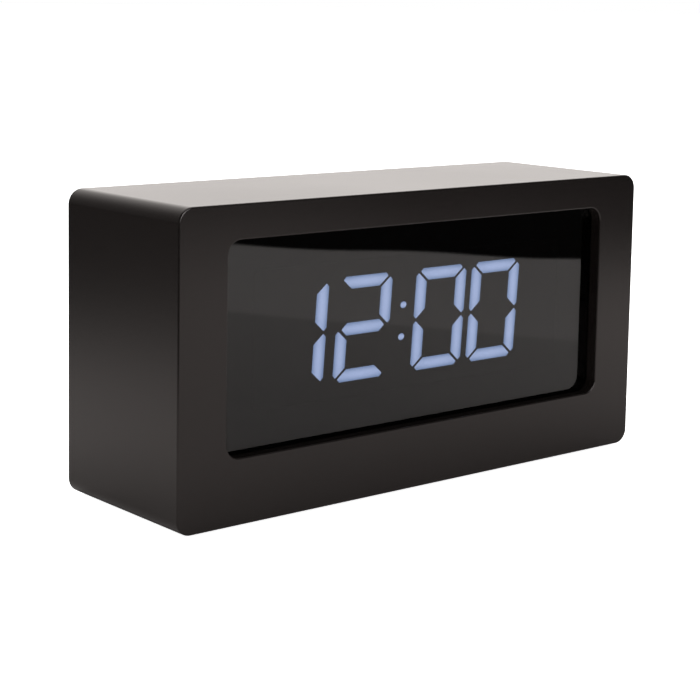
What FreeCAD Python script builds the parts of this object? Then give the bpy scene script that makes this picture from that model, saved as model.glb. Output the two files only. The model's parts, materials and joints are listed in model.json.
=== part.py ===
import FreeCAD, Part
import math
import os

os.makedirs("parts", exist_ok=True)

# Digital LED alarm clock, in millimetres.
# X runs along the front, Y from the front to the back, Z up.
# The origin is on the surface that the clock stands on, under the middle of the casing.

# Whole clock
clock_width = 200.0
clock_depth = 62.0
clock_height = 100.0
foot_thickness = 1.0
foot_radius = 6.0
foot_x = 84.0
foot_y = 21.0

# Casing: a box of fibreboard, open at the back
wall = 6.0
front_board = 9.0
long_edge_radius = 5.0
outer_arris = 0.6
window_arris = 0.45
cover_lip = 2.2          # width of the ledge that the rear cover sits on
cover_recess = 2.5       # rear cover's face, in from the back edge of the casing
cover_thickness = 2.5
rear_arris = 0.25        # broken edge around the cover, its openings and the battery door
ledge_radius = 3.0

# Window, lens and the pocket that holds it
window_width = 164.0
window_height = 67.0
window_centre_z = 55.5
window_radius = 5.0
lens_setback = 4.5
lens_thickness = 2.0
lens_overlap = 4.0
lens_radius = 4.0
pocket_gap = 0.3
tape_thickness = 0.3
tape_setback = 1.0
past = 1.0               # how far a cutting body runs past the face that it cuts

# Seven-segment digits
digit_centres = {"hour_tens": -50.7, "hour_units": -23.9, "minute_tens": 9.4, "minute_units": 34.7}
lit_segments = {"hour_tens": "bc", "hour_units": "abdeg", "minute_tens": "abcdef", "minute_units": "abcdef"}
digit_z = 56.0
digit_half_width = 9.0    # middle of the digit to the middle of an upright
digit_half_height = 15.05  # middle of the digit to the middle of the top bar
upright_width = 4.8
bar_height = 4.05
digit_slant = 4.0         # degrees from upright
mitre_gap = 0.85
corner_cut = 1.05
waist_inner = 3.6         # how far the uprights stop from the middle, at their inner side
waist_tip = 0.4
middle_reach = 9.0
middle_shoulder = 6.85
segment_corner = 0.35
colon_x = -6.9
colon_z = 56.35
colon_half_gap = 5.3
colon_half_width = 1.3
colon_half_height = 1.12
indicator_x = 56.5
indicator_z = 69.0
indicator_radius = 1.5

# Display stack behind the lens
reflector_x = (-68.0, 66.0)
reflector_z = (34.0, 78.0)
reflector_depth = 10.0
reflector_radius = 1.5
light_guide_depth = 8.0
fit_gap = 0.2
holder_plate = 2.5
holder_rim = 2.0
ear_z = (30.0, 81.0)
ear_x = (79.0, 93.0)
ear_height = 12.0
ear_screw_x = 90.0
ear_hole_radius = 1.6
ear_pilot_depth = 6.2
ear_screw_grip = 6.0     # length of an ear's screw past the ear
board_thickness = 1.6
display_board_x = (-77.0, 75.0)
display_board_z = (30.0, 82.0)
display_screw_x = (-73.0, 71.0)
display_screw_z = (34.5, 77.5)
chip_long = 3.4
chip_short = 2.7
chip_height = 0.8
driver_chip_place = (20.0, 56.0)
driver_chip_size = (18.0, 7.5)
driver_chip_height = 2.4
board_hole_radius = 1.4
board_screw_grip = 5.0   # length of a board's screw past the board

# Main board, carried on bosses of the rear cover
main_board_y = 14.0
main_board_x = 75.0
main_board_z = (43.0, 89.0)
main_screw_x = 71.0
main_screw_z = (47.0, 85.0)
main_screw_grip = 6.0
boss_radius = 3.2
boss_hole_depth = 7.5
clock_chip_place = (8.0, 66.0)
clock_chip_size = (12.0, 9.0)
clock_chip_height = 1.8
crystal_place = (22.0, 62.0)
crystal_radius = 1.5
crystal_length = 8.0
capacitor_place = (56.0, 72.0)
capacitor_radius = 4.0
capacitor_height = 11.5
regulator_place = (56.0, 54.0)
regulator_size = (6.6, 6.0)
regulator_height = 2.3

# Ribbon between the boards
ribbon_x = -45.0
ribbon_width = 20.0
ribbon_thickness = 0.9
ribbon_bend = 5.0
connector_width = 23.0
connector_height = 6.0    # along Z
connector_depth = 6.0     # off the board
display_connector_z = 40.0
main_connector_z = 60.0

# Controls on the rear cover
button_z = 76.0
button_x = {"time": 48.0, "alarm": 28.0, "snooze": 0.0, "hour": -28.0, "minute": -48.0}
button_radius = 4.3
button_slack = 0.2
snooze_half_run = 6.0     # half of the straight part of the wide button
button_flange = 1.2
button_stand_out = 1.7
button_travel = 0.5
stop_gap = 0.05
tact_side = 6.0
tact_body = 3.5
plunger_radius = 1.7
plunger_top = 5.8
stem_radius = 1.6
control_z = 54.0
switch_x = {"alarm": -14.0, "dimmer": -48.0}
switch_travel = 3.0
switch_size = (12.0, 6.0)
switch_height = 7.0
switch_slot_depth = 2.5
switch_stem = 2.0         # side of the knob's square stem
knob_flange = (11.0, 6.0)
knob_slack = 0.1
knob_width = 4.0
knob_height = 3.0
knob_stand_out = 1.4
inlet_x = 60.0
inlet_base = (9.0, 10.0)
inlet_bore = 2.8
inlet_depth = 9.5
inlet_nose = 4.0
inlet_pin_radius = 1.0
inlet_pin_root = 11.0     # from the cover's face to the foot of the pin
inlet_pin_setback = 1.2
buzzer_x = 28.0
buzzer_radius = 6.0
buzzer_height = 9.5
sound_hole_radius = 0.9
sound_ring_radius = 3.6
vent_count = 6
vent_pitch = 6.0
vent_start_x = 42.0
vent_size = (2.0, 18.0)

# Battery bay
bay_x = 25.0
bay_z = (13.0, 36.0)
bay_floor_y = 15.8
bay_wall = 1.5
door_margin = 2.0
door_thickness = 1.8
door_gap = 0.2
door_radius = 1.8
cell_radius = 5.15
cell_length = 43.5
cell_nub = 0.8
cell_offset = 5.6
contact_thickness = 0.4
leaf_radius = 4.5
tab_y = 22.0
tab_width = 2.5
tab_reach = 2.5           # how far a tab stands out of the bay
tongue_half = 15.0
tongue_thickness = 1.2
tongue_depth = 2.5
thumb_notch_radius = 6.0
grip_count = 4
wire_radius = 0.55
wire_bend = 5.5
wire_x = {"red": 40.0, "black": 46.0}
wire_landing = 3.0        # above the main board's lower edge

# Screws: shank radius, head radius, head height
holder_screw = (1.3, 2.6, 1.8)
small_screw = (1.1, 2.2, 1.6)
cover_screw = (1.4, 2.9, 1.9)
cover_screw_x = 88.0
block_size = 12.0
block_y = 4.0

# Places worked out from the sizes above
front = -clock_depth / 2
back = clock_depth / 2
half_width = clock_width / 2
floor_z = foot_thickness
top_z = clock_height
board_back = front + front_board
lens_front = front + lens_setback
lens_back = lens_front + lens_thickness
lens_half_x = window_width / 2 + lens_overlap
lens_half_z = window_height / 2 + lens_overlap
lens_x = (-lens_half_x, lens_half_x)
lens_z = (window_centre_z - lens_half_z, window_centre_z + lens_half_z)
cavity_x = half_width - wall
cavity_z = (floor_z + wall, top_z - wall)
cover_face = back - cover_recess
cover_inner = cover_face - cover_thickness
display_board_y = lens_back + reflector_depth
main_board_back = main_board_y + board_thickness
bay_middle_z = (bay_z[0] + bay_z[1]) / 2
cover_screw_z = (cavity_z[0] + block_size / 2, cavity_z[1] - block_size / 2)
slant = math.tan(math.radians(digit_slant))


def vec(x, y, z):
    return FreeCAD.Vector(x, y, z)


def block(x, y, z):
    """A box between pairs of limits."""
    return Part.makeBox(x[1] - x[0], y[1] - y[0], z[1] - z[0], vec(x[0], y[0], z[0]))


def around(middle, size):
    """Limits of a span of the given size about its middle."""
    return (middle - size / 2, middle + size / 2)


def grown(span, by):
    """A span made longer by the same amount at both ends."""
    return (span[0] - by, span[1] + by)


def slab(x, y, z, radius):
    """A box with its four edges along Y rounded."""
    plain = block(x, y, z)
    edges = [e for e in plain.Edges if abs(e.BoundBox.YLength - (y[1] - y[0])) < 1e-6]
    return plain.makeFillet(radius, edges)


def rod(x, z, y, radius):
    """A cylinder along Y."""
    return Part.makeCylinder(radius, y[1] - y[0], vec(x, y[0], z), vec(0, 1, 0))


def fuse(solids):
    """One solid out of several that touch or overlap."""
    return solids[0].fuse(solids[1:]).removeSplitter()


def edges_on(solid, y):
    """The edges that lie in the plane at y."""
    return [e for e in solid.Edges if abs(e.BoundBox.YMin - y) < 1e-4 and abs(e.BoundBox.YMax - y) < 1e-4]


def prism(points, y):
    """A closed outline of (x, z) points, extruded along Y."""
    corners = [vec(px, y[0], pz) for px, pz in points]
    face = Part.Face(Part.makePolygon(corners + corners[:1]))
    return face.extrude(vec(0, y[1] - y[0], 0))


def screw(x, z, seat_y, length, sizes, facing):
    """A pan-head cross-slot screw along Y; facing is +1 when its head points to the back."""
    shank_radius, head_radius, head_height = sizes
    shank_span = sorted((seat_y, seat_y - facing * length))
    head_span = sorted((seat_y, seat_y + facing * head_height))
    head = rod(x, z, head_span, head_radius)
    crown = edges_on(head, seat_y + facing * head_height)
    head = head.makeFillet(head_height * 0.45, crown)
    slot_span = sorted((seat_y + facing * head_height * 0.45, seat_y + facing * (head_height + 1)))
    arm = head_radius * 0.62
    blade = head_radius * 0.13
    cross = fuse([block((x - arm, x + arm), slot_span, (z - blade, z + blade)),
                  block((x - blade, x + blade), slot_span, (z - arm, z + arm))])
    return fuse([rod(x, z, shank_span, shank_radius), head]).cut(cross)


def group(solids):
    """Separate solids that share one node."""
    return Part.makeCompound(solids)


def bent_path(points, radius):
    """Straight runs joined by tangent arcs of one radius."""
    edges = []
    start = points[0]
    for before, corner, after in zip(points, points[1:], points[2:]):
        into = (corner - before).normalize()
        out = (after - corner).normalize()
        reach = radius * math.tan(into.getAngle(out) / 2)
        arc_start = corner - into * reach
        arc_end = corner + out * reach
        bisector = (out - into).normalize()
        centre = corner + bisector * (radius / math.cos(into.getAngle(out) / 2))
        edges.append(Part.LineSegment(start, arc_start).toShape())
        edges.append(Part.Arc(arc_start, centre - bisector * radius, arc_end).toShape())
        start = arc_end
    edges.append(Part.LineSegment(start, points[-1]).toShape())
    return Part.Wire(edges)


def swept(outline, path):
    """A closed outline carried along a path."""
    return path.makePipeShell([outline], True, False)


# ---- casing and what is fixed to it

def front_edges(body, of_window):
    """Edges in the front face: those around the window, or those around the outside."""
    chosen = []
    for edge in edges_on(body, front):
        box = edge.BoundBox
        inside = abs(box.Center.x) < cavity_x and box.ZMin > cavity_z[0] and box.ZMax < cavity_z[1]
        if inside == of_window:
            chosen.append(edge)
    return chosen


def casing():
    shell = slab((-half_width, half_width), (front, back), (floor_z, top_z), long_edge_radius)
    cavity = block((-cavity_x, cavity_x), (board_back, back + past), cavity_z)
    ledge = slab(grown((-cavity_x, cavity_x), cover_lip), (cover_inner, back + past),
                 grown(cavity_z, cover_lip), ledge_radius)
    window = slab(around(0, window_width), (front - past, board_back + past),
                  around(window_centre_z, window_height), window_radius)
    pocket = slab(grown(lens_x, pocket_gap), (lens_front - tape_thickness, board_back + past),
                  grown(lens_z, pocket_gap), lens_radius + pocket_gap)
    pilot_y = (board_back - ear_pilot_depth, board_back + past)
    pilots = [rod(side * ear_screw_x, z, pilot_y, holder_screw[0] + stop_gap)
              for side in (-1, 1) for z in ear_z]
    body = shell.cut([cavity, ledge, window, pocket] + pilots)
    body = body.makeFillet(window_arris, front_edges(body, True))
    body = body.makeFillet(outer_arris, front_edges(body, False))
    return body.makeFillet(outer_arris, edges_on(body, back))


def feet():
    places = {"foot_front_left": (-1, -1), "foot_front_right": (1, -1),
              "foot_rear_left": (-1, 1), "foot_rear_right": (1, 1)}
    nodes = {}
    for name, (sx, sy) in places.items():
        pad = Part.makeCylinder(foot_radius, foot_thickness, vec(sx * foot_x, sy * foot_y, 0))
        lower = [e for e in pad.Edges if e.BoundBox.ZMax < 1e-6]
        nodes[name] = pad.makeFillet(0.3, lower)
    return nodes


def corner_blocks():
    """Four blocks glued in the corners, drilled for the rear cover's screws."""
    blocks = []
    pilot_y = (cover_inner - block_size, cover_inner + past)
    for side in (-1, 1):
        for z in cover_screw_z:
            x_span = sorted((side * cavity_x, side * (cavity_x - block_size)))
            plain = block(x_span, (block_y, cover_inner), around(z, block_size))
            pilot = rod(side * cover_screw_x, z, pilot_y, cover_screw[0] + stop_gap)
            blocks.append(plain.cut(pilot))
    return group(blocks)


def front_lens():
    return slab(lens_x, (lens_front, lens_back), lens_z, lens_radius)


def lens_tape():
    y = (lens_front - tape_thickness, lens_front)
    outer = slab(lens_x, y, lens_z, lens_radius)
    inner = slab(around(0, window_width + 2 * tape_setback), grown(y, past),
                 around(window_centre_z, window_height + 2 * tape_setback), window_radius)
    return outer.cut(inner)


# ---- display

def upright_outline(side, level):
    """Points of an upright segment; side is +1 for the right, level is +1 for the upper half."""
    inner = digit_half_width - upright_width / 2
    outer = digit_half_width + upright_width / 2
    slope = bar_height / upright_width
    drop = mitre_gap / 2 * math.hypot(1, slope)
    top_inner = digit_half_height - bar_height / 2 - drop
    tip = outer - corner_cut
    top_tip = top_inner + (tip - inner) * slope
    points = [(inner, waist_inner), (inner, top_inner), (tip, top_tip), (outer, top_tip - corner_cut),
              (outer, waist_tip + corner_cut), (tip, waist_tip)]
    return [(side * u, level * v) for u, v in points]


def bar_outline(level):
    """Points of the top bar (level +1), the bottom bar (-1) or the middle bar (0)."""
    if level == 0:
        half = bar_height / 2
        right = [(middle_shoulder, half), (middle_reach, 0), (middle_shoulder, -half)]
        return right + [(-u, -v) for u, v in right]
    slope = bar_height / upright_width
    low = digit_half_height - bar_height / 2
    high = digit_half_height + bar_height / 2
    low_end = digit_half_width - upright_width / 2 - mitre_gap / 2 * math.hypot(1, 1 / slope)
    tip_v = high - corner_cut
    tip = low_end + (tip_v - low) / slope
    right = [(low_end, low), (tip, tip_v), (tip - corner_cut, high)]
    left = [(-u, v) for u, v in reversed(right)]
    return [(u, level * v) for u, v in right + left]


def segment_outlines():
    """The seven segments by their usual letters, about the digit's middle and not yet slanted."""
    return {"a": bar_outline(1), "g": bar_outline(0), "d": bar_outline(-1),
            "b": upright_outline(1, 1), "c": upright_outline(1, -1),
            "e": upright_outline(-1, -1), "f": upright_outline(-1, 1)}


def segment(digit, letter, depth):
    """One segment as a prism that starts at the lens and leans with the digit."""
    middle = digit_centres[digit]
    points = [(middle + u + v * slant, digit_z + v) for u, v in segment_outlines()[letter]]
    body = prism(points, (lens_back, lens_back + depth))
    edges = [e for e in body.Edges if abs(e.BoundBox.YLength - depth) < 1e-6]
    return body.makeFillet(segment_corner, edges)


def segments(digit, lit):
    letters = [s for s in "abcdefg" if (s in lit_segments[digit]) == lit]
    return group([segment(digit, s, light_guide_depth) for s in letters])


def round_light(x, z, radius, depth):
    return rod(x, z, (lens_back, lens_back + depth), radius)


def colon_places():
    return [(colon_x + v * slant, colon_z + v) for v in (-colon_half_gap, colon_half_gap)]


def colon_dot(x, z, depth):
    """A dot a little wider than it is tall."""
    middle = vec(x, lens_back, z)
    outline = Part.Ellipse(middle + vec(colon_half_width, 0, 0), middle + vec(0, 0, colon_half_height), middle)
    return Part.Face(Part.Wire(outline.toShape())).extrude(vec(0, depth, 0))


def colon_dots():
    return group([colon_dot(x, z, light_guide_depth) for x, z in colon_places()])


def alarm_indicator():
    return round_light(indicator_x, indicator_z, indicator_radius, light_guide_depth)


def display_reflector():
    """Black housing with a light well through it for each segment and dot."""
    body = slab(reflector_x, (lens_back, display_board_y), reflector_z, reflector_radius)
    wells = [segment(digit, s, reflector_depth) for digit in digit_centres for s in "abcdefg"]
    wells += [colon_dot(x, z, reflector_depth) for x, z in colon_places()]
    wells.append(round_light(indicator_x, indicator_z, indicator_radius, reflector_depth))
    return body.cut(wells)


def segment_leds():
    """One surface-mounted light at the back of each well."""
    y = (display_board_y - chip_height, display_board_y)
    quarter = digit_half_height / 2 + 0.5
    spots = {"a": (0, digit_half_height), "g": (0, 0), "d": (0, -digit_half_height),
             "b": (digit_half_width, quarter), "c": (digit_half_width, -quarter),
             "e": (-digit_half_width, -quarter), "f": (-digit_half_width, quarter)}
    chips = []
    for middle in digit_centres.values():
        for letter, (u, v) in spots.items():
            size = (chip_long, chip_short) if letter in "agd" else (chip_short, chip_long)
            chips.append(block(around(middle + u + v * slant, size[0]), y, around(digit_z + v, size[1])))
    for x, z in colon_places() + [(indicator_x, indicator_z)]:
        chips.append(block(around(x, 1.6), y, around(z, 1.2)))
    return group(chips)


def display_holder():
    """Plate behind the lens with a rim around the reflector, bosses for the board and four ears."""
    plate = slab(lens_x, (lens_back, lens_back + holder_plate), lens_z, lens_radius)
    plate_back = lens_back + holder_plate
    opening = slab(grown(reflector_x, fit_gap), grown((lens_back, display_board_y), past),
                   grown(reflector_z, fit_gap), reflector_radius)
    rim = slab(grown(reflector_x, fit_gap + holder_rim), (plate_back, display_board_y),
               grown(reflector_z, fit_gap + holder_rim), reflector_radius + holder_rim)
    bosses = [rod(x, z, (plate_back, display_board_y), boss_radius)
              for x in display_screw_x for z in display_screw_z]
    ear_y = (board_back, board_back + holder_plate)
    ears = []
    holes = [rod(x, z, (plate_back, display_board_y + past), small_screw[0] + stop_gap)
             for x in display_screw_x for z in display_screw_z]
    for side in (-1, 1):
        x_span = sorted((side * ear_x[0], side * ear_x[1]))
        for z in ear_z:
            ears.append(slab(x_span, ear_y, around(z, ear_height), 2.0))
            holes.append(rod(side * ear_screw_x, z, grown(ear_y, past), ear_hole_radius))
    return fuse([plate, rim] + bosses + ears).cut([opening] + holes)


def display_holder_screws():
    seat = board_back + holder_plate
    return group([screw(side * ear_screw_x, z, seat, holder_plate + ear_screw_grip, holder_screw, 1)
                  for side in (-1, 1) for z in ear_z])


def drilled_board(x, y0, z, screw_x, screw_z):
    board = slab(x, (y0, y0 + board_thickness), z, 1.5)
    through = grown((y0, y0 + board_thickness), past)
    return board.cut([rod(px, pz, through, board_hole_radius) for px in screw_x for pz in screw_z])


def display_board():
    return drilled_board(display_board_x, display_board_y, display_board_z, display_screw_x, display_screw_z)


def display_board_screws():
    seat = display_board_y + board_thickness
    return group([screw(x, z, seat, board_thickness + board_screw_grip, small_screw, 1)
                  for x in display_screw_x for z in display_screw_z])


def chip(place, board_y, facing, size, height, leads):
    """A surface-mounted chip with leads along its long sides; facing is the side of the board it is on."""
    x, z = place
    lead_width = 0.45
    lead_height = 0.35
    lead_reach = 1.2
    end_margin = 0.6
    y = sorted((board_y + facing * 0.1, board_y + facing * height))
    solids = [block(around(x, size[0]), y, around(z, size[1]))]
    pitch = (size[0] - 2 * end_margin) / (leads - 1)
    lead_y = sorted((board_y, board_y + facing * lead_height))
    for i in range(leads):
        lead_x = x - size[0] / 2 + end_margin + i * pitch
        solids.append(block(around(lead_x, lead_width), lead_y, around(z, size[1] + 2 * lead_reach)))
    return fuse(solids)


def display_driver_chip():
    rear = display_board_y + board_thickness
    return chip(driver_chip_place, rear, 1, driver_chip_size, driver_chip_height, 14)


def connector(z, y):
    """The housing that an end of the ribbon goes into."""
    return slab(around(ribbon_x, connector_width), y, around(z, connector_height), 0.6)


def display_connector():
    rear = display_board_y + board_thickness
    return connector(display_connector_z, (rear, rear + connector_depth))


def main_connector():
    return connector(main_connector_z, (main_board_y - connector_depth, main_board_y))


def display_ribbon_cable():
    """Flat cable that leaves one connector, turns up and enters the other."""
    start_y = display_board_y + board_thickness + connector_depth
    end_y = main_board_y - connector_depth
    turn_y = (start_y + end_y) / 2
    low = display_connector_z
    high = main_connector_z
    turns = ((start_y, low), (turn_y, low), (turn_y, high), (end_y, high))
    route = bent_path([vec(ribbon_x, y, z) for y, z in turns], ribbon_bend)
    x0, x1 = around(ribbon_x, ribbon_width)
    z0, z1 = around(low, ribbon_thickness)
    corners = [vec(x0, start_y, z0), vec(x1, start_y, z0), vec(x1, start_y, z1), vec(x0, start_y, z1)]
    return swept(Part.makePolygon(corners + corners[:1]), route)


# ---- main board

def main_board():
    return drilled_board((-main_board_x, main_board_x), main_board_y, main_board_z,
                         (-main_screw_x, main_screw_x), main_screw_z)


def main_board_screws():
    return group([screw(x, z, main_board_y, board_thickness + main_screw_grip, small_screw, -1)
                  for x in (-main_screw_x, main_screw_x) for z in main_screw_z])


def clock_chip():
    return chip(clock_chip_place, main_board_y, -1, clock_chip_size, clock_chip_height, 12)


def timing_crystal():
    """A cylinder can lying on the board, with its two wires."""
    x, z = crystal_place
    y = main_board_y - crystal_radius
    wire_length = 2.5
    can = Part.makeCylinder(crystal_radius, crystal_length, vec(x, y, z))
    wires = [Part.makeCylinder(0.2, wire_length, vec(x + dx, y, z - wire_length)) for dx in (-0.6, 0.6)]
    return fuse([can] + wires)


def smoothing_capacitor():
    """A can capacitor standing on the board, with the rolled groove above its base."""
    x, z = capacitor_place
    end = main_board_y - capacitor_height
    can = rod(x, z, (end, main_board_y), capacitor_radius)
    can = can.makeFillet(0.5, edges_on(can, end))
    groove = Part.makeTorus(capacitor_radius + 0.35, 0.7, vec(x, main_board_y - 2.2, z), vec(0, 1, 0))
    return can.cut(groove)


def voltage_regulator():
    """A flat power chip: plastic body, metal tab and three leads."""
    x, z = regulator_place
    width, height = regulator_size
    sheet = (main_board_y - 0.5, main_board_y)
    body = block(around(x, width), (main_board_y - regulator_height, main_board_y), around(z, height))
    tab = block(around(x, width - 1.4), sheet, (z + height / 2, z + height / 2 + 1.2))
    leads = [block(around(x + dx, 0.8), sheet, (z - height / 2 - 2.5, z - height / 2))
             for dx in (-width / 3, 0, width / 3)]
    return fuse([body, tab] + leads)


def buzzer():
    """Round sounder with a hole in its face."""
    face = main_board_back + buzzer_height
    can = rod(buzzer_x, control_z, (main_board_back, face), buzzer_radius)
    can = can.makeFillet(0.6, edges_on(can, face))
    return can.cut(rod(buzzer_x, control_z, (face - buzzer_height / 2, face + past), 1.2))


def power_inlet():
    """Round low-voltage socket with a square base on the board."""
    base = slab(around(inlet_x, inlet_base[0]), (main_board_back, cover_inner),
                around(control_z, inlet_base[1]), 0.8)
    nose = rod(inlet_x, control_z, (cover_inner, cover_face), inlet_nose)
    bore = rod(inlet_x, control_z, (cover_face - inlet_depth, cover_face + past), inlet_bore)
    pin_seat = rod(inlet_x, control_z, (cover_face - inlet_pin_root, cover_face), inlet_pin_radius + stop_gap)
    body = fuse([base, nose]).cut(bore)
    mouth = [e for e in edges_on(body, cover_face) if e.BoundBox.XLength < 2 * inlet_bore + 0.1]
    return body.makeChamfer(0.3, mouth).cut(pin_seat)


def power_inlet_pin():
    tip = cover_face - inlet_pin_setback
    pin = rod(inlet_x, control_z, (cover_face - inlet_pin_root, tip), inlet_pin_radius)
    return pin.makeFillet(inlet_pin_radius / 2, edges_on(pin, tip))


def tact_switch(name):
    """Push switch on the board, under its button."""
    x = button_x[name]
    base = slab(around(x, tact_side), (main_board_back, main_board_back + tact_body),
                around(button_z, tact_side), 0.5)
    plunger = rod(x, button_z, (main_board_back + tact_body, main_board_back + plunger_top), plunger_radius)
    return fuse([base, plunger])


def switch_body(name):
    """Slide switch on the board, with the slot that its knob's stem runs in."""
    x = switch_x[name]
    top = main_board_back + switch_height
    body = slab(around(x, switch_size[0]), (main_board_back, top), around(control_z, switch_size[1]), 0.5)
    slot = block(around(x, switch_stem + switch_travel + 3 * fit_gap),
                 (top - switch_slot_depth, top + past), around(control_z, switch_stem + 2 * fit_gap))
    return body.cut(slot)


def switch_knob(name):
    """Ribbed knob with a flange behind the cover and a stem into the switch, at its rest end."""
    x = switch_x[name] + switch_travel / 2
    flange_y = (cover_inner - knob_slack - 1, cover_inner - knob_slack)
    crown_y = cover_face + knob_stand_out
    flange = slab(around(x, knob_flange[0]), flange_y, around(control_z, knob_flange[1]), 0.8)
    nub = slab(around(x, knob_width), (flange_y[1], crown_y), around(control_z, knob_height), 0.6)
    grooves = [block(around(x + dx, 0.5), (crown_y - 0.4, crown_y + past),
                     around(control_z, knob_height + 1)) for dx in (-1.1, 0.0, 1.1)]
    stem_end = main_board_back + switch_height - switch_slot_depth + 0.5
    stem = block(around(x, switch_stem), (stem_end, flange_y[0]), around(control_z, switch_stem))
    return fuse([flange, nub, stem]).cut(grooves)


def stadium(x, z, y, radius, half_run):
    """A round-ended slab; with no straight run it is a plain cylinder."""
    if half_run == 0:
        return rod(x, z, y, radius)
    ends = [rod(x + s * half_run, z, y, radius) for s in (-1, 1)]
    return fuse([block((x - half_run, x + half_run), y, (z - radius, z + radius))] + ends)


def half_run_of(name):
    return snooze_half_run if name == "snooze" else 0.0


def button(name):
    """Cap through the cover, flange behind it and a stem that stops short of the switch."""
    x = button_x[name]
    run = half_run_of(name)
    crown_y = cover_face + button_stand_out
    cap = stadium(x, button_z, (cover_inner - 1, crown_y), button_radius, run)
    cap = cap.makeFillet(0.7, edges_on(cap, crown_y))
    flange = stadium(x, button_z, (cover_inner - 1, cover_inner), button_radius + button_flange, run)
    stem_end = main_board_back + plunger_top + button_travel + stop_gap
    stem = rod(x, button_z, (stem_end, cover_inner - 1), stem_radius)
    return fuse([cap, flange, stem])


# ---- rear cover and battery bay

def rear_cover():
    """Plate with bosses for the main board, the battery bay and the openings for the controls."""
    through = grown((cover_inner, cover_face), past)
    plate = slab(grown((-cavity_x, cavity_x), cover_lip - fit_gap), (cover_inner, cover_face),
                 grown(cavity_z, cover_lip - fit_gap), ledge_radius - fit_gap)
    bosses = [rod(sx * main_screw_x, z, (main_board_back, cover_inner), boss_radius)
              for sx in (-1, 1) for z in main_screw_z]
    bay = slab(grown((-bay_x, bay_x), bay_wall), (bay_floor_y - bay_wall, cover_inner),
               grown(bay_z, bay_wall), bay_wall)
    boss_hole_y = (main_board_back - past, main_board_back + boss_hole_depth)
    cuts = [rod(sx * main_screw_x, z, boss_hole_y, small_screw[0] + stop_gap)
            for sx in (-1, 1) for z in main_screw_z]
    cuts += [rod(sx * cover_screw_x, z, through, cover_screw[0] + 0.3)
             for sx in (-1, 1) for z in cover_screw_z]
    cuts += [stadium(x, button_z, through, button_radius + button_slack, half_run_of(name))
             for name, x in button_x.items()]
    cuts += [slab(around(x, knob_width + switch_travel + 2 * fit_gap), through,
                  around(control_z, knob_height + 2 * fit_gap), 0.7) for x in switch_x.values()]
    cuts.append(rod(inlet_x, control_z, through, inlet_nose + fit_gap))
    cuts += sound_holes(through) + vents(through)
    cuts.append(block((-bay_x, bay_x), (bay_floor_y, cover_face + past), bay_z))
    cuts.append(slab(grown((-bay_x, bay_x), door_margin + door_gap),
                     (cover_face - door_thickness, cover_face + past),
                     grown(bay_z, door_margin + door_gap), door_radius + door_gap))
    cuts.append(rod(0, bay_z[1] + door_margin, (cover_face - door_thickness / 2, cover_face + past),
                    thumb_notch_radius))
    cuts += [block((bay_x, bay_x + bay_wall + past), around(tab_y, contact_thickness + fit_gap),
                   around(z, tab_width + fit_gap)) for z in cell_places()]
    body = fuse([plate, bay] + bosses).cut(cuts)
    return body.makeChamfer(rear_arris, edges_on(body, cover_face))


def sound_holes(y):
    """A hole over the middle of the buzzer and a ring of six around it."""
    angles = [math.radians(60 * i) for i in range(6)]
    ring = [(buzzer_x + sound_ring_radius * math.cos(a), control_z + sound_ring_radius * math.sin(a))
            for a in angles]
    return [rod(x, z, y, sound_hole_radius) for x, z in ring + [(buzzer_x, control_z)]]


def vents(y):
    """A row of upright slots on each side of the battery bay."""
    slots = []
    for side in (-1, 1):
        for i in range(vent_count):
            x = side * (vent_start_x + vent_pitch * i)
            slots.append(slab(around(x, vent_size[0]), y, around(bay_middle_z, vent_size[1]), 0.9))
    return slots


def rear_cover_screws():
    return group([screw(sx * cover_screw_x, z, cover_face, cover_thickness + 10, cover_screw, 1)
                  for sx in (-1, 1) for z in cover_screw_z])


def battery_door():
    """Lid flush with the cover, with two tongues that grip the bay's walls."""
    y = (cover_face - door_thickness, cover_face)
    lid = slab(grown((-bay_x, bay_x), door_margin), y, grown(bay_z, door_margin), door_radius)
    lid = lid.makeChamfer(rear_arris, edges_on(lid, cover_face))
    near = 0.15
    far = near + tongue_thickness
    tongues = [block((-tongue_half, tongue_half), (y[0] - tongue_depth, y[0]), z)
               for z in ((bay_z[0] + near, bay_z[0] + far), (bay_z[1] - far, bay_z[1] - near))]
    grip = [block((-tongue_half / 2, tongue_half / 2), (cover_face - 0.5, cover_face + past),
                  around(bay_z[1] - 2.0 - 1.6 * i, 0.7)) for i in range(grip_count)]
    return fuse([lid] + tongues).cut(grip)


def cell_places():
    return (bay_middle_z + cell_offset, bay_middle_z - cell_offset)


def backup_cell(z, facing):
    """A small dry cell along X; facing is the way that its button end points."""
    y = bay_floor_y + cell_radius + stop_gap
    start = -facing * (cell_length + cell_nub) / 2
    body = Part.makeCylinder(cell_radius, cell_length, vec(start, y, z), vec(facing, 0, 0))
    body = body.makeFillet(0.4, [e for e in body.Edges if e.BoundBox.XLength < 1e-6])
    nub = Part.makeCylinder(1.9, cell_nub, vec(start + facing * cell_length, y, z), vec(facing, 0, 0))
    return fuse([body, nub])


def leaf(side, z):
    """Contact plate against the bay's end wall with a bowed leaf that reaches the cell."""
    y = bay_floor_y + cell_radius + stop_gap
    end = (cell_length + cell_nub) / 2
    inner = bay_x - contact_thickness
    plate_x = sorted((side * inner, side * bay_x))
    plate = block(plate_x, around(y, 8.0), around(z, 7.0))
    middle = vec(side * (end + stop_gap + leaf_radius), y, z - 2)
    ring = Part.makeCylinder(leaf_radius, 4, middle)
    ring = ring.cut(Part.makeCylinder(leaf_radius - contact_thickness, 4, middle))
    keep_x = sorted((side * inner, side * end))
    bow = ring.common(block(keep_x, around(y, 2 * leaf_radius), around(z, 4)))
    return fuse([plate, bow])


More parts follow.
